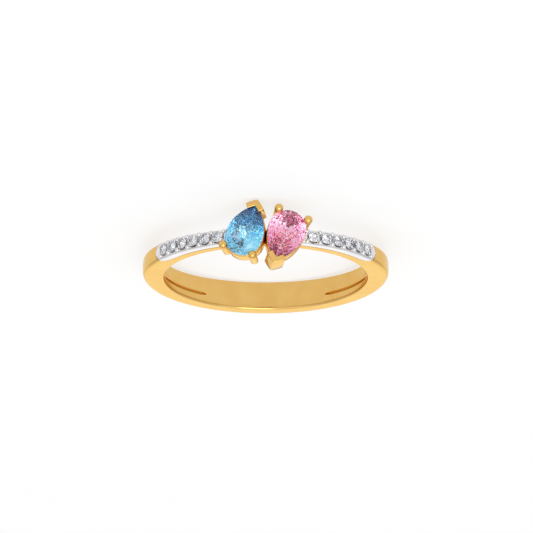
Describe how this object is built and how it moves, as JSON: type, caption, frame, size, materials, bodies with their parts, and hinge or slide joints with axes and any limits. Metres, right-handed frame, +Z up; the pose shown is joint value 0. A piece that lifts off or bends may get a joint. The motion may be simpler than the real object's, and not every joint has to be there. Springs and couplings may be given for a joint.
{
  "type": "toi et moi ring",
  "caption": "Yellow gold ring with a blue and a pink pear cut stone set head to tail and small diamonds in white gold on both shoulders, lying on its side.",
  "frame": {"origin": "middle of the finger hole, on its axis and half way across the band", "axes": "+Z up, nearly along the finger hole's axis; -Y towards the stones, +Y towards the foot of the band; +X towards the blue stone"},
  "size_m": [0.02, 0.0207, 0.0054],
  "materials": {
    "yellow_gold": "high polish yellow gold",
    "white_gold": "rhodium plated white gold, polished",
    "blue_stone": "faceted and polished blue stone",
    "pink_stone": "faceted and polished pink stone",
    "diamond": "faceted and polished colourless stone"
  },
  "bodies": {
    "root": {"gold_mount": "yellow_gold", "pave_plate_left": "white_gold", "pave_plate_right": "white_gold", "blue_pear": "blue_stone", "pink_pear": "pink_stone", "diamond_left_1": "diamond", "diamond_left_2": "diamond", "diamond_left_3": "diamond", "diamond_left_4": "diamond", "diamond_left_5": "diamond", "diamond_left_6": "diamond", "diamond_right_1": "diamond", "diamond_right_2": "diamond", "diamond_right_3": "diamond", "diamond_right_4": "diamond", "diamond_right_5": "diamond", "diamond_right_6": "diamond"}
  },
  "joints": []
}
